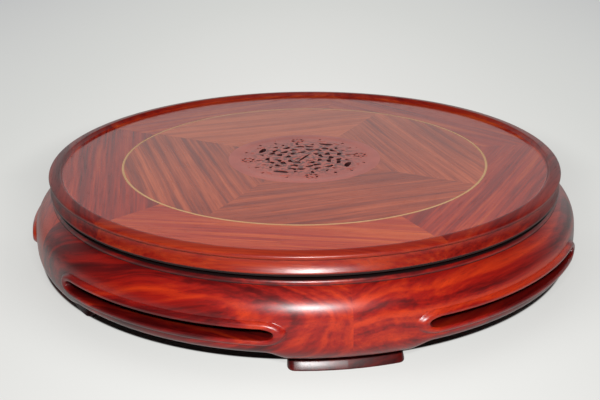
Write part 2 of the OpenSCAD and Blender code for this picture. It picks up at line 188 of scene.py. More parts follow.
def rosewood(name, look):
    paint = Paint(name)
    place = paint.objectPlace()
    turned = paint.node("ShaderNodeMapping", {}, {
        "Vector": place,
        "Rotation": (look.get("roll", 0.0), look.get("lean", 0.0), -math.radians(look["along"])),
        "Location": look["shift"],
    })  # x now runs along the grain
    wave = paint.noise(paint.stretch(turned, grain["wave"]), 2.0, 0.5, "Color")
    sway = paint.stretch(paint.shift(wave, (-0.5, -0.5, -0.5)), (0, look["wander"], look["wander"]))
    bent = paint.shift(turned, sway)
    layers = paint.length(paint.stretch(bent, (0.0, 1.0, 1.0)))
    bands = paint.node("ShaderNodeTexNoise", {"noise_dimensions": "1D"},
                       {"W": layers * look["layers"], "Scale": 1.0, "Detail": 3.0, "Roughness": 0.55}, "Fac")
    lines = paint.noise(paint.stretch(bent, grain["lines"]), 2.0, 0.6)
    fibre = paint.noise(paint.stretch(bent, grain["fibre"]), 3.0, 0.6)
    cloud = paint.noise(paint.stretch(turned, grain["cloud"]), 2.0, 0.5)
    tone = 0.5 + look.get("lift", 0.0) + (bands - 0.5) * look["contrast"] + (lines - 0.5) * look["lines"]
    tone = tone + (fibre - 0.5) * look["fibre"] + (cloud - 0.5) * look["cloud"]
    if "shoulder" in look:  # painted shade: darker towards the collar under the top, and towards the lower edge
        height = paint.part(place, "Z")
        tone = tone - paint.step(height, *look["shoulderZ"]) * look["shoulder"]
        tone = tone - (1.0 - paint.step(height, *look["lowZ"])) * look["low"]
    if "endShade" in look:  # painted shade: darker towards one end of the board, where the belly turns away from the light
        tone = tone + (paint.part(turned, "X") - look["shift"][0]) * look["endShade"]
    colour = paint.ramp(tone, look["tones"])
    pores = paint.step(paint.noise(paint.stretch(bent, grain["pores"]), 1.0), *grain["poreEdge"])
    colour = paint.mix(pores * grain["poreTint"], colour, solid(look["tones"][0][1]))
    rough = look["rough"]
    lacquer = look.get("coat")
    if "edgeTint" in look:  # the frame's edge is darker and duller than its field
        outside = paint.step(paint.fromAxis(place), *look["edgeR"])
        colour = paint.mix(outside, colour, solid(look["edgeTint"]), "MULTIPLY")
        rough = rough + outside * (look["edgeRough"] - look["rough"])
    # painted shade, kept per vertex in the hollow attribute: the colour goes towards the dark shade colour, and where
    # it is deepest the lacquer goes; the base's pads take a plain darker tint from it too
    if "shadeAndStain" in look:
        deep = paint.node("ShaderNodeAttribute", {"attribute_name": "hollow"}, {}, "Fac")
        colour = paint.mix(deep, colour, solid(look["shadeAndStain"]))
        dull = paint.step(deep, *grain["dull"])
        rough = rough + dull * grain["dullRough"]
        if lacquer:
            lacquer = (1.0 - dull) * lacquer
    sockets = {
        "Base Color": colour,
        "Roughness": pores * grain["poreRough"] + rough,
        "Normal": paint.bump(pores * -1.0, grain["poreBump"], grain["poreDepth"]),
        "Specular IOR Level": look["shine"],
    }
    if lacquer:
        sockets.update({"Coat Weight": lacquer, "Coat Roughness": look["gloss"]})
    return paint.finish(sockets)


def carvedWood(name, look):
    paint = Paint(name)
    place = paint.objectPlace()
    cloud = paint.noise(paint.stretch(place, look["cloud"]), 3.0)
    wood = paint.mix(cloud, solid(look["dark"]), solid(look["light"]))
    patinaAndShade = paint.step(paint.noise(paint.stretch(place, look["patinaAndShadeGrain"])), *look["patinaAndShadeEdge"])  # dark blots in the inner carving: patina, and painted shade of carving that is not modelled
    patinaAndShade = patinaAndShade * (1.0 - paint.step(paint.fromAxis(place), *look["patinaAndShadeR"])) * look["patinaAndShade"]
    # painted shade in the piercings: below the carved ground the walls take the dark hollow colour
    high = paint.step(paint.part(place, "Z"), *look["highZ"])
    colour = paint.mix(high, solid(look["hollow"]), paint.mix(patinaAndShade, wood, solid(look["hollow"])))
    tooled = paint.noise(paint.stretch(place, look["tooled"]))
    return paint.finish({
        "Base Color": colour,
        "Roughness": look["rough"] - high * look["polish"],
        "Normal": paint.bump(tooled, look["bump"], look["bumpDepth"]),
    })


def plainWood(name, look):
    paint = Paint(name)
    place = paint.objectPlace()
    lines = paint.noise(paint.stretch(place, look["lines"]), 4.0, 0.6)
    cloud = paint.noise(paint.stretch(place, look["cloud"]))
    figure = lines * look["lineShare"] + cloud * (1 - look["lineShare"])
    colour = paint.mix(figure, solid(look["dark"]), solid(look["light"]))
    return paint.finish({
        "Base Color": colour,
        "Roughness": look["rough"] + lines * look["fuzz"],
        "Normal": paint.bump(lines, look["bump"], look["bumpDepth"]),
    })


brushing = {"shadeAndStain": (70, 70, 70), "rough": 0.12, "bump": 0.08, "bumpDepth": 0.0001}


def metal(name, look):
    paint = Paint(name)
    place = paint.objectPlace()
    brushed = paint.noise(paint.stretch(place, look["scale"]))
    shadeAndStain = paint.noise(paint.stretch(place, brushing["shadeAndStain"]))
    return paint.finish({
        "Base Color": paint.mix(shadeAndStain, solid(look["dark"]), solid(look["light"])),
        "Metallic": look.get("metallic", 1.0),
        "Roughness": look["rough"] + brushed * brushing["rough"],
        "Normal": paint.bump(brushed, brushing["bump"], brushing["bumpDepth"]),
    })


def moulded(name, look):
    paint = Paint(name)
    grit = paint.noise(paint.stretch(paint.objectPlace(), look["grit"]))
    return paint.finish({
        "Base Color": paint.mix(grit, solid(look["dark"]), solid(look["light"])),
        "Roughness": look["rough"] + grit * look["gritRough"],
        "Normal": paint.bump(grit, look["bump"], look["bumpDepth"]),
    })


# Mesh helpers

def polar(radius, angle, height):
    return Vector((radius * math.cos(math.radians(angle)), radius * math.sin(math.radians(angle)), height))


def angleOf(vert):
    return math.degrees(math.atan2(vert.co.y, vert.co.x))


def arc(centre, radius, start, end, steps):
    turns = [math.radians(start + (end - start) * k / steps) for k in range(steps + 1)]
    return [(centre[0] + radius * math.cos(t), centre[1] + radius * math.sin(t)) for t in turns]


def smoothStep(value):
    value = min(max(value, 0.0), 1.0)
    return value * value * (3 - 2 * value)


def spinSection(points, start, sweep, steps):  # a closed section turned round the axis, its rows numbered
    bm = bmesh.new()
    row = bm.verts.layers.int.new("row")
    bm.verts.layers.float.new("hollow")
    ring = [bm.verts.new(polar(r, start, z)) for r, z in points]
    for k, vert in enumerate(ring):
        vert[row] = k
    edges = [bm.edges.new((ring[k], ring[(k + 1) % len(ring)])) for k in range(len(ring))]
    whole = abs(sweep - 360) < 0.001
    bmesh.ops.spin(bm, geom=ring + edges, cent=(0, 0, 0), axis=(0, 0, 1), dvec=(0, 0, 0),
                   angle=math.radians(sweep), steps=steps, use_merge=whole)
    return bm


def roundEdges(bm, edges, width, segments):
    bmesh.ops.bevel(bm, geom=edges, offset=width, offset_type="OFFSET", segments=segments, profile=0.5,
                    affect="EDGES", material=-1)


def closeEnds(bm):
    bmesh.ops.holes_fill(bm, edges=[e for e in bm.edges if e.is_boundary], sides=0)
    bmesh.ops.recalc_face_normals(bm, faces=bm.faces)


def absorb(bm, other):  # moves another mesh's faces into this one
    spare = bpy.data.meshes.new("spare")
    other.to_mesh(spare)
    other.free()
    bm.from_mesh(spare)
    bpy.data.meshes.remove(spare)


def toMesh(bm, name):  # from millimetres, with the row numbers left behind
    bm.verts.layers.int.remove(bm.verts.layers.int["row"])
    mesh = bpy.data.meshes.new(name)
    bm.to_mesh(mesh)
    bm.free()
    mesh.transform(Matrix.Scale(mm, 4))
    return mesh


def addPiece(name, mesh, body, nodes, material):
    for face in mesh.polygons:
        face.use_smooth = True
    mesh.set_sharp_from_angle(angle=math.radians(sharpAngle))
    mesh.materials.append(material)
    piece = bpy.data.objects.new(name, mesh)
    bpy.context.scene.collection.objects.link(piece)
    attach(piece, body)
    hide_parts(*nodes)


def addSegments(bm, kind, wood, figures):  # like segments round the axis, each cut from its own board
    segment = toMesh(bm, kind["mesh"])
    for k, figure in enumerate(figures):
        middle = front + kind["turn"] + (k + 0.5) * share
        mesh = segment.copy()
        mesh.name = f"{kind['mesh']}{k + 1}"
        mesh.transform(Matrix.Rotation(math.radians(middle), 4, "Z"))
        look = {**wood, **figure, "along": middle + 90}
        addPiece(f"{kind['piece']}_{k + 1}", mesh, kind["body"], [f"{kind['node']}_{k + 1}"],
                 rosewood(f"{kind['wood']}{k + 1}", look))
    bpy.data.meshes.remove(segment)


# Base: five segments, each with its slot in the middle and half a foot at each end

belly = {
    "bellyR": 159.98, "bellyZ": 25.0, "sideR": 70.0, "shoulderR": 17.4, "shoulderZ": 30.3,
    "apronR": 5.7, "apronZ": 14.4, "collarR": 148.8, "collarEdge": 2.2, "cove": 0.15, "lead": 0.6,
    "rabbetR": 131.6, "ledgeR": 119.5, "ledgeT": 4.0, "wall": 10.5, "innerEdge": 1.2, "columns": 360,
}
slotSize = {
    "z": 26.6, "r": 2.8, "end": 6.0, "straight": 20.4, "ease": 4.6, "edge": 0.45,
    "border": 3.4, "flare": 3.2, "proud": 2.2, "crest": 0.38, "dip": 0.3, "fullness": 0.55, "clear": 2.4,
}
footSize = {
    "r": 13.6, "z": 22.0, "neckR": 143.0, "neckEdge": 0.5, "inR": 128.0, "lowZ": 4.2,
    "innerZ": (18.0, 21.0), "innerDrop": 8.0, "roofStep": 0.2,
    "outside": (41.0, 30.0), "under": (37.0, 27.0), "inside": (33.5, 24.0),  # half lengths at apron and neck
}
padSize = {
    "outR": 148.3, "inR": 126.0, "t": 4.9, "half": 30.2, "slant": 3.0, "corner": 4.0, "edge": 1.0,
    "sharp": 0.7,  # in radians; edges with a sharper turn are rounded
}
baseShadeAndTint = {
    "collarT": 0.8, "collar": 0.2, "crease": 0.95, "creaseDrop": 0.1,  # painted shade in the gap under the top and in the crease under the collar
    # painted shade at the slot's rim and on the foot's neck under the belly; the pads are darker all over
    "slotRim": 0.35, "foot": 0.85, "footZ": (6.5, 8.5), "pad": 0.7,
}
baseWood = {
    "tones": [(0.1, rgb(44, 4, 7)), (0.34, rgb(104, 8, 9)), (0.52, rgb(156, 20, 11)), (0.78, rgb(202, 54, 15))],
    "layers": 150.0, "wander": 0.034, "contrast": 0.7, "lines": 0.6, "fibre": 0.3, "cloud": 0.35,
    # painted shade under the top towards the collar, and towards the lower edge
    "shoulder": 0.06, "shoulderZ": (belly["shoulderZ"] * mm, collarZ * mm),
    "low": 0.13, "lowZ": (belly["apronZ"] * mm, belly["bellyZ"] * mm),
    # the dark colour of the painted shade, and of the pads' darker tint
    "coat": 0.8, "gloss": 0.33, "rough": 0.32, "shine": 0.2, "shadeAndStain": rgb(20, 4, 5),
}
baseFigures = [
    # painted shade: the first and last segments darken towards one end
    {"shift": (0.31, 0.138, 0.07), "lean": 0.06, "roll": 0.05, "lift": 0.02, "endShade": -0.8, "wander": 0.03},
    {"shift": (0.72, 0.22, 0.06), "lean": -0.06, "lift": 0.2},
    {"shift": (1.43, 0.2, 0.08), "lean": 0.05},
    {"shift": (2.17, 0.24, 0.07), "lean": -0.08, "lift": 0.3},
    {"shift": (2.93, 0.26, 0.03), "lean": 0.05, "roll": 0.3, "lift": -0.02, "endShade": 1.0},
]

apronTop = belly["apronZ"] + belly["apronR"]
sideC = (belly["bellyR"] - belly["sideR"], belly["bellyZ"])  # centres of the section's arcs
shoulderC = (sideC[0] + math.sqrt((belly["sideR"] - belly["shoulderR"]) ** 2
                                  - (belly["shoulderZ"] - belly["bellyZ"]) ** 2), belly["shoulderZ"])
apronC = (sideC[0] + math.sqrt((belly["sideR"] - belly["apronR"]) ** 2
                               - (apronTop - belly["bellyZ"]) ** 2), apronTop)
shoulderA = math.degrees(math.atan2(shoulderC[1] - sideC[1], shoulderC[0] - sideC[0]))
apronA = math.degrees(math.atan2(apronC[1] - sideC[1], apronC[0] - sideC[0]))
hollowR = belly["bellyR"] - belly["wall"]
roofZ = deckZ - belly["ledgeT"]
filletR = belly["wall"] / 2


def onCircle(centre, radius, height):
    return centre[0] + math.sqrt(max(radius ** 2 - (height - centre[1]) ** 2, 0.0))


def outerR(height):  # the belly's outside between collar and lower edge
    if height > shoulderC[1] + belly["shoulderR"] * math.sin(math.radians(shoulderA)):
        return onCircle(shoulderC, belly["shoulderR"], height)
    if height > apronC[1] + belly["apronR"] * math.sin(math.radians(apronA)):
        return onCircle(sideC, belly["sideR"], height)
    return onCircle(apronC, belly["apronR"], height)


def innerR(height):
    if height < roofZ - filletR:
        return hollowR
    return onCircle((hollowR - filletR, roofZ - filletR), filletR, height)


def bellyRows():  # point between the feet, point at a foot, part of the section
    rows = []

    def same(points, mark):
        rows.extend((p, p, mark) for p in points)

    def both(points, footPoints, mark):
        rows.extend((p, q, mark) for p, q in zip(points, footPoints))

    def onBelly(heights):
        return [(outerR(z), z) for z in heights]

    slotTop, slotLow = slotSize["z"] + slotSize["r"], slotSize["z"] - slotSize["r"]
    border, clear = slotSize["border"], slotSize["clear"]
    borderTop = slotTop + border

    # from the rabbet over the collar and down its crease
    rabbetR, lead = belly["rabbetR"], belly["lead"]
    collarR, edge, cove = belly["collarR"], belly["collarEdge"], belly["cove"]
    same([(rabbetR, deckZ), (rabbetR, collarZ - lead), (rabbetR + lead, collarZ)], "rim")
    same(arc((collarR - edge, collarZ - edge), edge, 90, 0, 5), "rim")
    meet = math.degrees(math.acos((collarR + cove - shoulderC[0]) / (belly["shoulderR"] + cove)))
    coveZ = shoulderC[1] + (belly["shoulderR"] + cove) * math.sin(math.radians(meet))
    same(arc((collarR + cove, coveZ), cove, 180, 180 + meet, 6)[:-1], "rim")

    # over the belly, with closer rows at the slot and its border
    above = math.degrees(math.asin((borderTop + clear - shoulderC[1]) / belly["shoulderR"]))
    same(arc(shoulderC, belly["shoulderR"], meet, above, 14), "outside")
    same(onBelly([borderTop + clear * (1 - k / 5) ** 2 for k in range(1, 5)]), "outside")
    same(onBelly([borderTop - border * (k / 9) ** 2 for k in range(9)]), "outside")
    slotLevels = [slotSize["z"] + slotSize["r"] * math.cos(math.pi * k / 12) for k in range(13)]
    same(onBelly(slotLevels), "slotOut")
    same(onBelly([slotLow - border * (1 - (1 - k / 9) ** 2) for k in range(1, 10)]), "outside")

    # round the lower edge, or down the foot to its pad
    neckR, inR, lowZ = footSize["neckR"], footSize["inR"], footSize["lowZ"]
    footC = (outerR(footSize["z"]) - footSize["r"], footSize["z"])
    footTop = math.degrees(math.asin((apronC[1] - footC[1]) / footSize["r"]))
    both(arc(apronC, belly["apronR"], apronA, -90, 12), arc(footC, footSize["r"], footTop, -90, 12), "outside")
    neckTop, neckEdge = footC[1] - footSize["r"], footSize["neckEdge"]
    inEdge = belly["innerEdge"]
    flat = [apronC[0] + (hollowR + inEdge - apronC[0]) * k / 4 for k in range(1, 4)]
    both([(r, belly["apronZ"]) for r in flat],
         [(neckR + neckEdge, neckTop), (neckR, neckTop - neckEdge), (neckR, lowZ)], "under")

    # back up the inside to the ledge
    turn = arc((hollowR + inEdge, belly["apronZ"] + inEdge), inEdge, 270, 180, 3)
    both(turn, [(neckR - (neckR - inR) * k / 4, lowZ) for k in range(1, 5)], "inside")
    innerZ = footSize["innerZ"]
    both([(hollowR, z) for z in innerZ], [(inR, z - footSize["innerDrop"]) for z in innerZ], "inside")
    rows.extend(((innerR(z), z), (inR, z), "slotIn") for z in reversed(slotLevels))
    start = math.degrees(math.asin((slotTop - roofZ + filletR) / filletR))
    fillet = arc((hollowR - filletR, roofZ - filletR), filletR, start, 90, 5)[1:]
    both(fillet, [(inR - footSize["roofStep"] * k, roofZ) for k in range(5)], "inside")
    same([(belly["ledgeR"], roofZ), (belly["ledgeR"], deckZ)], "ledge")
    return rows


def borderRise(angle, height):  # how far the moulding round the slot lifts the surface
    slotR = slotSize["r"]
    along = belly["bellyR"] * math.radians(abs(angle) - slotSize["straight"])
    across = abs(height - slotSize["z"])
    reach = slotR + slotSize["border"]
    distance, soft = across, 0.0
    if along > 0:  # round the slot's end
        along *= slotR / slotSize["end"]
        distance = math.hypot(along, across)
        lie = along / distance
        longReach = slotR + slotSize["flare"]
        reach = 1 / math.sqrt((lie / longReach) ** 2 + (1 - lie * lie) / reach ** 2)
        soft = lie * lie
    t = (distance - slotR) / (reach - slotR)
    if t >= 1:
        return 0.0
    crest = slotSize["crest"]
    if t < crest:
        return slotSize["proud"] * (1 - slotSize["dip"] * ((crest - max(t, 0.0)) / crest) ** 2)
    return slotSize["proud"] * (1 - ((t - crest) / (1 - crest)) ** 2) ** (slotSize["fullness"] + soft)


def padHalf(start, direction):
    sweep = direction * math.degrees(math.asin(padSize["half"] / padSize["outR"]))
    corners = [(padSize["inR"], 0.0), (padSize["outR"], 0.0),
               (padSize["outR"] - padSize["slant"], padSize["t"]), (padSize["inR"], padSize["t"])]
    bm = spinSection(corners, start, sweep, 4)
    closeEnds(bm)

    def near(vert, angle):
        return abs(angleOf(vert) - angle) < 0.01

    def rise(edge):
        return abs(edge.verts[0].co.z - edge.verts[1].co.z)

    roundEdges(bm, [e for e in bm.edges if rise(e) > 1 and near(e.verts[0], start + sweep)], padSize["corner"], 5)
    rims = [e for e in bm.edges if rise(e) < 0.001 and not all(near(v, start) for v in e.verts)
            and len(e.link_faces) == 2 and e.calc_face_angle() > padSize["sharp"]]
    roundEdges(bm, rims, padSize["edge"], 4)
    # the pads are darker all over
    hollow = bm.verts.layers.float["hollow"]
    for vert in bm.verts:
        vert[hollow] = baseShadeAndTint["pad"]
    return bm


def onSlotRim(mark, angle, height):
    end = abs(angle) - slotSize["straight"]
    edge = abs(abs(height - slotSize["z"]) - slotSize["r"]) < 0.01
    return mark == "slotOut" and (abs(end) < 0.01 or (end < 0 and edge))


def paintedShadeOf(mark, angle, height):  # how much painted shade the base takes, in its hollows, at the collar and the slot's rim, and towards the feet
    if mark in ("slotIn", "inside", "ledge") or (mark == "rim" and height > collarZ - baseShadeAndTint["collarT"]):
        return 1.0
    if mark == "rim":
        inCrease = height < collarZ - belly["collarEdge"] - baseShadeAndTint["creaseDrop"]
        return baseShadeAndTint["crease"] if inCrease else baseShadeAndTint["collar"]
    if onSlotRim(mark, angle, height):
        return baseShadeAndTint["slotRim"]
    low, high = baseShadeAndTint["footZ"]
    return max(0.0, min(1.0, (high - height) / (high - low))) * baseShadeAndTint["foot"]


def bellySegment():
    rows = bellyRows()
    half = share / 2
    bm = spinSection([p for p, q, mark in rows], -half, share, belly["columns"])
    row = bm.verts.layers.int["row"]
    hollow = bm.verts.layers.float["hollow"]
    turn = {v: angleOf(v) for v in bm.verts}
    pierced = []
    for face in bm.faces:
        marks = {rows[v[row]][2] for v in face.verts}
        middle = sum(turn[v] for v in face.verts) / len(face.verts)
        if marks in ({"slotOut"}, {"slotIn"}) and abs(middle) < slotSize["straight"]:
            pierced.append(face)
    bmesh.ops.delete(bm, geom=pierced, context="FACES")
    halves = {"outside": footSize["outside"], "under": footSize["under"],
              "inside": footSize["inside"], "slotIn": footSize["inside"]}
    for vert in bm.verts:
        (r, z), (footR, footZ), mark = rows[vert[row]]
        angle = turn[vert]
        if mark in ("slotOut", "slotIn"):  # the slot's ends are rounded
            across = min(abs(z - slotSize["z"]) / slotSize["r"], 1.0)
            bulge = math.degrees(slotSize["end"] * math.sqrt(1 - across ** 2) / belly["bellyR"])
            past = abs(angle) - slotSize["straight"]
            if -0.01 < past < slotSize["ease"]:
                angle += math.copysign(bulge * (1 - past / slotSize["ease"]), angle)
        if mark in halves:  # the section changes into that of the foot
            apronHalf, neckHalf = halves[mark]
            aside = r * math.sin(math.radians(half - abs(angle)))
            foot = smoothStep((apronHalf - aside) / (apronHalf - neckHalf))
            r, z = r + (footR - r) * foot, z + (footZ - z) * foot
        if mark in ("outside", "slotOut") and z > belly["apronZ"] + 1:
            r += borderRise(angle, z)
        vert.co = polar(r, angle, z)
        vert[hollow] = paintedShadeOf(mark, turn[vert], z)
    rim = [e for e in bm.edges if e.is_boundary and all(abs(turn[v]) < half - 1 for v in e.verts)]
    outerRim = [e for e in rim if rows[e.verts[0][row]][2] == "slotOut"]
    bmesh.ops.bridge_loops(bm, edges=rim)
    roundEdges(bm, outerRim, slotSize["edge"], 3)
    closeEnds(bm)
    absorb(bm, padHalf(-half, 1))
    absorb(bm, padHalf(half, -1))
    return bm


addSegments(bellySegment(), {"piece": "belly_segment", "node": "base_segment", "mesh": "bellySegment",
                             "wood": "bellyRosewood", "body": "base", "slot": "base_wood", "turn": 0.0},
            baseWood, baseFigures)
print("base segments made")


# Frame of the top: five segments with the lip, band and bead on their edge

lip = {
    "topR": 150.0, "footR": 142.3, "slope": 1.2, "edge": 0.7, "flatW": 1.6,
    "rollR": 1.3, "rollDrop": 2.0, "rollEnd": 68.0, "setback": 2.0,
    "fall": [(147.6, 0.52), (146.2, 0.24), (144.9, 0.07)],  # radius, depth below the lip's inner edge
    "beadR": 1.7, "beadSetback": 0.25, "flareR": 11.0, "flare": 33.0, "underW": 2.0,
    "coreR": 125.1, "brassR": 108.5, "columns": 144,
    "shade": (1.575, 2.1),  # painted shade over the gap on the bead's underside, fading out between these heights above the underside
}
frameWood = {
    "tones": [(0.1, rgb(92, 13, 11)), (0.36, rgb(150, 28, 17)), (0.54, rgb(188, 50, 24)), (0.85, rgb(226, 98, 40))],
    "layers": 150.0, "wander": 0.006, "contrast": 0.35, "lines": 0.75, "fibre": 0.6, "cloud": 0.25,
    # the dark colour of the painted shade over the gap
    "rough": 0.13, "shine": 0.58, "shadeAndStain": rgb(16, 3, 3),
    "edgeTint": (0.55, 0.3, 0.38), "edgeRough": 0.32,
    "edgeR": ((lip["footR"] - 0.6) * mm, (lip["footR"] + 0.6) * mm),
}
frameFigures = [
    {"shift": (0.2, 0.19, 0.02)},
    {"shift": (0.9, 0.27, 0.03), "lift": 0.06},
    {"shift": (1.6, 0.22, 0.01), "lift": 0.12},
    {"shift": (2.3, 0.3, 0.02), "lift": -0.06},
    {"shift": (3.1, 0.24, 0.04), "lift": 0.14},
]


def frameSegment():
    topR, footR = lip["topR"], lip["footR"]
    bead, flare, roll = lip["beadR"], lip["flareR"], lip["rollR"]
    beadC = (topR - lip["beadSetback"] - bead, underZ + bead)
    lean = math.radians(lip["flare"])
    flareC = (beadC[0] + (bead + flare) * math.cos(lean), beadC[1] + (bead + flare) * math.sin(lean))
    rollC = (topR - roll, lipZ - lip["rollDrop"])
    rollStart = -math.degrees(math.acos((topR - lip["setback"] - rollC[0]) / roll))
    points = [(lip["coreR"], underZ), (beadC[0] - lip["underW"], underZ)]
    points += arc(beadC, bead, -90, lip["flare"], 12)
    points += arc(flareC, flare, 180 + lip["flare"], 180, 9)[1:]
    points += arc(rollC, roll, rollStart, lip["rollEnd"], 12)
    points += [(r, lipZ - drop) for r, drop in lip["fall"]]
    lipEdge = len(points)
    points += [(footR + lip["slope"], lipZ), (footR, fieldZ), (footR - lip["flatW"], fieldZ)]
    points += [(lip["brassR"], fieldZ), (lip["brassR"], seatZ), (lip["coreR"], seatZ)]
    bm = spinSection(points, -share / 2, share, lip["columns"])
    row = bm.verts.layers.int["row"]
    hollow = bm.verts.layers.float["hollow"]
    # painted shade on the bead's underside over the gap
    low, high = lip["shade"]
    for vert in bm.verts:
        vert[hollow] = smoothStep((underZ + high - vert.co.z) / (high - low))
    rings = [e for e in bm.edges if e.verts[0][row] == e.verts[1][row] and e.verts[0][row] in (lipEdge, lipEdge + 1)]
    roundEdges(bm, rings, lip["edge"], 4)
    closeEnds(bm)
    return bm


addSegments(frameSegment(), {"piece": "lipped_segment", "node": "frame_segment", "mesh": "frameSegment",
                             "wood": "frameRosewood", "body": "top", "slot": "frame_wood", "turn": topTurn},
            frameWood, frameFigures)
print("frame segments made")


# Panel sectors, brass line and the boards and bearing inside keep their solids

panelWood = {
    "tones": [(0.1, rgb(100, 31, 23)), (0.38, rgb(148, 52, 32)), (0.58, rgb(188, 76, 40)), (0.88, rgb(232, 112, 66))],
    "layers": 150.0, "wander": 0.005, "lines": 0.65, "fibre": 0.6, "cloud": 0.45, "rough": 0.13, "shine": 0.6,
}
panelFigures = [
    {"shift": (0.4, 0.16, 0.03), "contrast": 0.4, "lean": 0.02, "lift": 0.15},
    {"shift": (1.1, 0.24, 0.05), "contrast": 0.3, "lean": -0.01, "lift": 0.3},
    {"shift": (1.9, 0.31, 0.02), "contrast": 0.8, "lean": 0.01, "lift": 0.06},
    {"shift": (2.6, 0.19, 0.04), "contrast": 0.3, "lean": -0.02, "lift": 0.02},
]


def dress(node, material):
    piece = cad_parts[node]
    piece.data.materials.clear()
    piece.data.materials.append(material)


for k, figure in enumerate(panelFigures):
    across = front + topTurn + panelTurn + (k + 0.5) * 360 / len(panelFigures)
    look = {**panelWood, **figure, "along": across + 90}
    dress(f"panel_sector_{k + 1}", rosewood(f"panelRosewood{k + 1}", look))

brass = metal("brassLine", {"dark": rgb(244, 184, 120), "light": rgb(255, 206, 150),
                            "metallic": 0.3, "rough": 0.3, "scale": (300, 300, 300)})
steel = metal("screwSteel", {"dark": rgb(140, 136, 126), "light": rgb(182, 178, 166),
                             "rough": 0.35, "scale": (900, 900, 200)})
ringMetal = metal("ringMetal", {"dark": rgb(176, 178, 180), "light": rgb(206, 208, 210),
                                "rough": 0.3, "scale": (200, 200, 2000)})
ballSteel = metal("ballSteel", {"dark": rgb(196, 198, 202), "light": rgb(220, 222, 226),
                                "rough": 0.08, "scale": (100, 100, 100)})
innerWood = plainWood("innerWood", {"dark": rgb(84, 44, 28), "light": rgb(138, 82, 52),
                                    "lines": (20, 420, 420), "cloud": (14, 30, 30), "lineShare": 0.7,
                                    "rough": 0.6, "fuzz": 0.2, "bump": 0.2, "bumpDepth": 0.0003})
cagePlastic = moulded("cagePlastic", {"dark": rgb(206, 200, 182), "light": rgb(226, 222, 206),
                                      "grit": (1200, 1200, 1200), "rough": 0.45, "gritRough": 0.15,
                                      "bump": 0.1, "bumpDepth": 0.0001})
for node, material in {
    "brass_line": brass, "base_tenons": innerWood, "frame_tenons": innerWood, "deck_board": innerWood,
    "core_board": innerWood, "deck_screws": steel, "bearing_base_screws": steel, "bearing_top_screws": steel,
    "bearing_base_ring": ringMetal, "bearing_top_ring": ringMetal, "bearing_balls": ballSteel,
    "ball_cage": cagePlastic,
}.items():
    dress(node, material)
print("panel, brass and inner pieces finished")


# Carved medallion: half lengths and half widths of its holes and swellings

carving = {
    "radius": 45.5, "border": 3.0, "slope": 5.0, "depth": 0.15, "swell": 0.14, "turn": front + topTurn + panelTurn,
    "slit": (2, 7.6, 0.8),  # angle, length, width; it lies between the two ovals in the middle
    "ovals": (4.6, 3.0, 6.0),  # radius, width, length
    "scrolls": [(9, 10.2, 2.5, 1.3), (13, 15.9, 2.7, 1.5), (17, 21.6, 2.7, 1.4)],  # count, radius, length, width
    "scrollBend": 1.1, "scrollTurn": 20, "scrollSway": 0.12, "scrollShift": 0.4, "scrollStep": 0.2,
    "swayStep": 2.4, "turnStep": 1.7,  # radians from one scroll to the next
    "long": (29.0, 4.6, 1.8), "longTurn": 12, "longBend": 0.6,  # radius, length, width
    "flowerR": 34.0, "flowerTurn": 35.0, "eye": 1.5,
    "petals": 6, "petalR": 3.2, "petalHole": (1.45, 0.85), "petalBend": 0.3, "petalRise": 0.4, "petal": (1.6, 0.9),
    "fronds": (33.6, 9, 20, 1.2, 3.4),  # radius, angle, turn, width, length
    "leaves": [  # radius, angle, turn, length, width
        (26.2, 17, 60, 1.6, 0.9), (26.4, -20, 120, 1.6, 0.9), (37.4, 12, 80, 1.9, 0.8), (37.0, -13, 100, 1.9, 0.8),
        (27.3, 57, 50, 1.6, 0.8), (38.2, 58, 110, 1.5, 0.7), (27.2, 38, 90, 2.2, 0.9), (33.0, 61, 75, 1.5, 0.8),
    ],
    "leafBend": 0.5,
}
groundZ = fieldZ - carving["depth"]
carvedLook = {
    "dark": rgb(176, 74, 66), "light": rgb(228, 114, 94), "cloud": (60, 60, 60),
    # the hollow colour is painted shade in the piercings and the colour of the blots in the inner carving
    "hollow": rgb(64, 33, 35), "highZ": ((groundZ - 0.35) * mm, (groundZ - 0.02) * mm),
    "patinaAndShade": 0.75, "patinaAndShadeR": (22.0 * mm, 40.0 * mm), "patinaAndShadeGrain": (330, 330, 330), "patinaAndShadeEdge": (0.45, 0.58),
    "rough": 0.5, "polish": 0.3, "tooled": (900, 900, 900), "bump": 0.12, "bumpDepth": 0.0002,
}


def flatPlace(radius, angle, turn=0.0):
    return Matrix.Translation(polar(radius, angle, 0)) @ Matrix.Rotation(math.radians(angle + turn), 4, "Z")


def piercings():  # place, half length along the ring, half width, how far its ends bend
    turn = carving["turn"]
    angle, length, width = carving["slit"]
    holes = [(flatPlace(0.0, turn + angle), length, width, 0.0)]
    for ring, (count, radius, length, width) in enumerate(carving["scrolls"]):
        for k in range(count):
            sway = math.sin(carving["swayStep"] * k + ring)  # breaks the even step of the ring
            place = flatPlace(radius + carving["scrollShift"] * sway,
                              turn + (k + carving["scrollStep"] * sway) * 360 / count,
                              carving["scrollTurn"] * math.cos(carving["turnStep"] * k))
            bend = carving["scrollBend"] if (k + ring) % 2 else -carving["scrollBend"]
            more = carving["scrollSway"] * sway
            holes.append((place, length * (1 + more), width * (1 - more), bend))
    radius, length, width = carving["long"]
    petals = carving["petals"]
    for k in range(4):
        quarter = turn + 90 * k
        holes.append((flatPlace(radius, quarter, carving["longTurn"]), length, width, carving["longBend"]))
        flower = flatPlace(carving["flowerR"], quarter + carving["flowerTurn"])
        for p in range(petals):
            place = flower @ flatPlace(carving["petalR"], 360 / petals * p)
            holes.append((place, *carving["petalHole"], carving["petalBend"]))
        for leafR, leafA, leafTurn, leafL, leafW in carving["leaves"]:
            holes.append((flatPlace(leafR, quarter + leafA, leafTurn), leafL, leafW, carving["leafBend"]))
    return holes


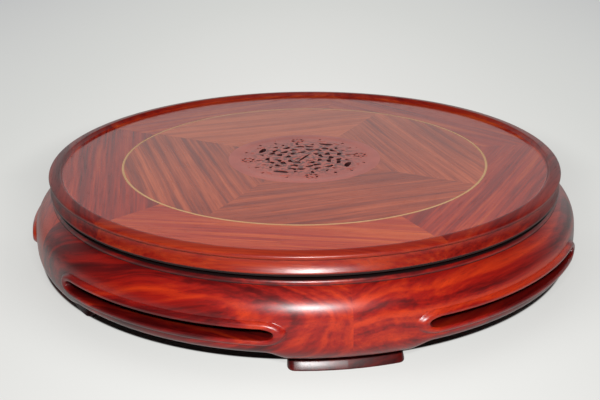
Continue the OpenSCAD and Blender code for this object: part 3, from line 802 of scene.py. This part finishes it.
def cutHole(plate, place, length, width, bend):  # a bent oval as a loop of edges
    loop = bmesh.ops.create_circle(plate, cap_ends=False, segments=16, radius=1.0)["verts"]
    bmesh.ops.scale(plate, verts=loop, vec=(width, length, 1.0))
    for vert in loop:
        vert.co.x += bend * ((vert.co.y / length) ** 2 - 0.4)
    bmesh.ops.transform(plate, verts=loop, matrix=place)


def medallionRim():
    radius, slope = carving["radius"], carving["slope"]
    rimR = radius - carving["border"]
    fall = [(rimR - slope * k / 6, fieldZ - carving["depth"] * smoothStep(k / 6)) for k in range(7)]
    bm = spinSection([(radius, seatZ), (radius, fieldZ)] + fall + [(rimR - slope, seatZ)], 0, 360, 180)
    bmesh.ops.recalc_face_normals(bm, faces=bm.faces)
    return bm


def piercedPlate():
    plate = bmesh.new()
    bmesh.ops.create_circle(plate, cap_ends=False, segments=120, radius=carving["radius"] - carving["border"])
    for hole in piercings():
        cutHole(plate, *hole)
    bmesh.ops.triangle_fill(plate, use_beauty=True, use_dissolve=False, edges=plate.edges)
    bmesh.ops.translate(plate, verts=plate.verts, vec=(0, 0, groundZ))
    skin = bmesh.ops.extrude_face_region(plate, geom=plate.faces[:])
    lower = [g for g in skin["geom"] if isinstance(g, bmesh.types.BMVert)]
    bmesh.ops.translate(plate, verts=lower, vec=(0, 0, seatZ - groundZ))
    bmesh.ops.recalc_face_normals(plate, faces=plate.faces)
    return plate


def carvedRelief():
    relief = bmesh.new()

    def swell(place, width, length):
        shape = Matrix.Translation((0, 0, groundZ)) @ place @ Matrix.Diagonal((width, length, carving["swell"], 1.0))
        bmesh.ops.create_uvsphere(relief, u_segments=16, v_segments=8, radius=1.0, matrix=shape)

    turn = carving["turn"]
    ovalR, ovalW, ovalL = carving["ovals"]
    for side in (0, 180):
        swell(flatPlace(ovalR, turn + carving["slit"][0] + side), ovalW, ovalL)
    petals = carving["petals"]
    frondR, frondA, frondTurn, frondW, frondL = carving["fronds"]
    for k in range(4):
        quarter = turn + 90 * k
        flower = flatPlace(carving["flowerR"], quarter + carving["flowerTurn"])
        swell(flower, carving["eye"], carving["eye"])
        for p in range(petals):
            place = flower @ flatPlace(carving["petalR"] + carving["petalRise"], 360 / petals * (p + 0.5))
            swell(place, *carving["petal"])
        for side in (-1, 1):
            swell(flatPlace(frondR, quarter + frondA * side, frondTurn * side), frondW, frondL)
    return relief


medallion = medallionRim()
absorb(medallion, piercedPlate())
absorb(medallion, carvedRelief())
addPiece("pierced_medallion", toMesh(medallion, "medallion"), "top", ["carved_medallion"],
         carvedWood("carvedRosewood", carvedLook))
print("medallion made")


# Stage: pale floor, studio light and the photograph's camera

stage = {
    "floorHalf": 6.0, "floor": rgb(188, 188, 186), "weave": (300, 40, 1), "weaveDark": 0.97, "far": rgb(214, 215, 215),
    "pool": [(0.02, rgb(254, 254, 251)), (0.17, rgb(236, 236, 233)), (0.28, rgb(225, 226, 223)),
             (0.55, rgb(205, 206, 206))],
    "poolDepth": -0.12, "poolLong": 0.27,  # the light on the floor lies before the stand and reaches far behind it
    "shadow": (0.0291, 0.1416), "slide": (-0.0213, -0.0001), "spread": 0.2036, "edge": (0.1587, 0.1599),
    "nearShade": 0.05, "fill": (0.172, 0.3), "fillShare": 0.8,  # the shadow thins out away from the stand
    "glow": 0.68, "openGlow": 0.17, "mirrored": 0.35,
    "keyPower": 2.7, "keySize": (0.08, 0.02), "keyRise": 0.061, "keyShift": 0.014,
    "topPower": 4.0, "topSize": 1.0, "topZ": 1.25,
    "room": rgb(48, 48, 48), "backdrop": 0.83, "backdropSide": (0.15, 0.85), "backdropTop": (0.37, 0.5),
}
shot = {"lens": 60.0, "sensor": 36.0, "distance": 0.6028, "elevation": 18.36, "azimuth": -8.0,
        "pan": 0.268, "tilt": -2.451, "roll": 0.513}


def raysSeen(paint):  # rays that show the pale ground: straight, mirrored or through glass
    def path(name):
        return paint.node("ShaderNodeLightPath", {}, {}, name)

    return path("Is Camera Ray") + (path("Is Glossy Ray") + path("Is Transmission Ray")) * stage["mirrored"]


def awayDirection():  # level direction from the camera to the back
    return Euler((0, 0, math.radians(shot["azimuth"]))).to_matrix() @ Vector((0, 1, 0))


def makeFloor():
    bm = bmesh.new()
    bmesh.ops.create_grid(bm, x_segments=1, y_segments=1, size=stage["floorHalf"])
    mesh = bpy.data.meshes.new("floor")
    bm.to_mesh(mesh)
    bm.free()
    floor = bpy.data.objects.new("floor", mesh)
    bpy.context.scene.collection.objects.link(floor)
    paint = Paint("paleFloor")
    place = paint.objectPlace()
    weave = paint.noise(paint.stretch(place, stage["weave"]), 3.0)
    shade = paint.mix(weave, solid(tuple(c * stage["weaveDark"] for c in stage["floor"])), solid(stage["floor"]))
    cloth = paint.node("ShaderNodeBsdfPrincipled", {},
                       {"Base Color": shade, "Roughness": 0.9, "Specular IOR Level": 0.1})
    turned = paint.node("ShaderNodeMapping", {}, {"Vector": place, "Rotation": (0, 0, -math.radians(shot["azimuth"]))})
    depth = paint.part(turned, "Y")  # y now runs away from the camera

    # the cloth with its shadow shows in a shape round a spine behind the stand, and the glow outside it
    along = paint.node("ShaderNodeClamp", {}, {"Value": depth, "Min": stage["shadow"][0], "Max": stage["shadow"][1]})
    slope, start = stage["slide"]
    spine = paint.node("ShaderNodeCombineXYZ", {}, {"X": along * slope + start, "Y": along})
    reach = paint.node("ShaderNodeVectorMath", {"operation": "DISTANCE"}, {0: turned, 1: spine}, "Value")
    reach = reach - along * stage["spread"]
    low, high = stage["edge"]
    outside = paint.step(reach, low, high)
    outside = outside + (1.0 - outside) * paint.step(paint.length(place), *stage["fill"]) * stage["fillShare"]
    clear = paint.step(reach, low, high + stage["nearShade"])
    seen = raysSeen(paint) * outside * (stage["glow"] + clear * stage["openGlow"])

    fromPool = paint.stretch(paint.shift(turned, (0, -stage["poolDepth"], 0)), (1.0, stage["poolLong"], 0.0))
    pale = paint.ramp(paint.length(fromPool), stage["pool"])
    glow = paint.node("ShaderNodeEmission", {}, {"Color": pale, "Strength": 1.0})
    surface = paint.node("ShaderNodeMixShader", {}, {0: seen, 1: cloth, 2: glow})
    paint.node("ShaderNodeOutputMaterial", {}, {"Surface": surface})
    mesh.materials.append(paint.material)


def cameraPlace():
    turn = Matrix.Rotation(math.radians(shot["azimuth"]), 4, "Z")
    stand = turn @ Matrix.Rotation(math.radians(90 - shot["elevation"]), 4, "X")
    aim = Matrix.Translation((0, 0, fieldZ * mm)) @ stand @ Matrix.Translation((0, 0, shot["distance"]))
    return (aim @ Matrix.Rotation(math.radians(shot["pan"]), 4, "Y")
            @ Matrix.Rotation(math.radians(shot["tilt"]), 4, "X")
            @ Matrix.Rotation(math.radians(-shot["roll"]), 4, "Z"))


def makeCamera():
    data = bpy.data.cameras.new("camera")
    data.lens = shot["lens"]
    data.sensor_width = shot["sensor"]
    data.clip_start = 0.01
    camera = bpy.data.objects.new("camera", data)
    bpy.context.scene.collection.objects.link(camera)
    camera.matrix_world = cameraPlace()
    bpy.context.scene.camera = camera


def addLight(name, size, power, place):
    data = bpy.data.lights.new(name, "AREA")
    data.shape = "RECTANGLE"
    data.size, data.size_y = size
    data.energy = power
    lamp = bpy.data.objects.new(name, data)
    bpy.context.scene.collection.objects.link(lamp)
    lamp.matrix_world = place
    return lamp


def makeLights():
    beside = Matrix.Translation((stage["keyShift"], stage["keyRise"], 0))
    addLight("key", stage["keySize"], stage["keyPower"], cameraPlace() @ beside)
    ceiling = addLight("ceiling", (stage["topSize"], stage["topSize"]), stage["topPower"],
                       Matrix.Translation((0, 0, stage["topZ"])))
    ceiling.visible_glossy = False


def makeSky():
    world = bpy.data.worlds.new("studio")
    bpy.context.scene.world = world
    world.use_nodes = True
    paint = Paint("studio", world.node_tree)
    toward = paint.node("ShaderNodeTexCoord", {}, {}, "Generated")
    facing = paint.node("ShaderNodeVectorMath", {"operation": "DOT_PRODUCT"}, {0: toward, 1: awayDirection()}, "Value")
    under = 1.0 - paint.step(paint.part(toward, "Z"), *stage["backdropTop"])
    hung = paint.step(facing, *stage["backdropSide"]) * under * stage["backdrop"]
    shade = paint.mix(hung, solid(stage["room"]), solid(stage["far"]))
    light = paint.node("ShaderNodeBackground", {}, {"Color": shade, "Strength": 1.0})
    plain = paint.node("ShaderNodeBackground", {}, {"Color": solid(stage["far"]), "Strength": 1.0})
    seen = paint.node("ShaderNodeLightPath", {}, {}, "Is Camera Ray")
    surface = paint.node("ShaderNodeMixShader", {}, {0: seen, 1: light, 2: plain})
    paint.node("ShaderNodeOutputWorld", {}, {"Surface": surface})


makeFloor()
makeCamera()
makeLights()
makeSky()
bpy.context.scene.view_settings.view_transform = "Standard"
print("stage made")
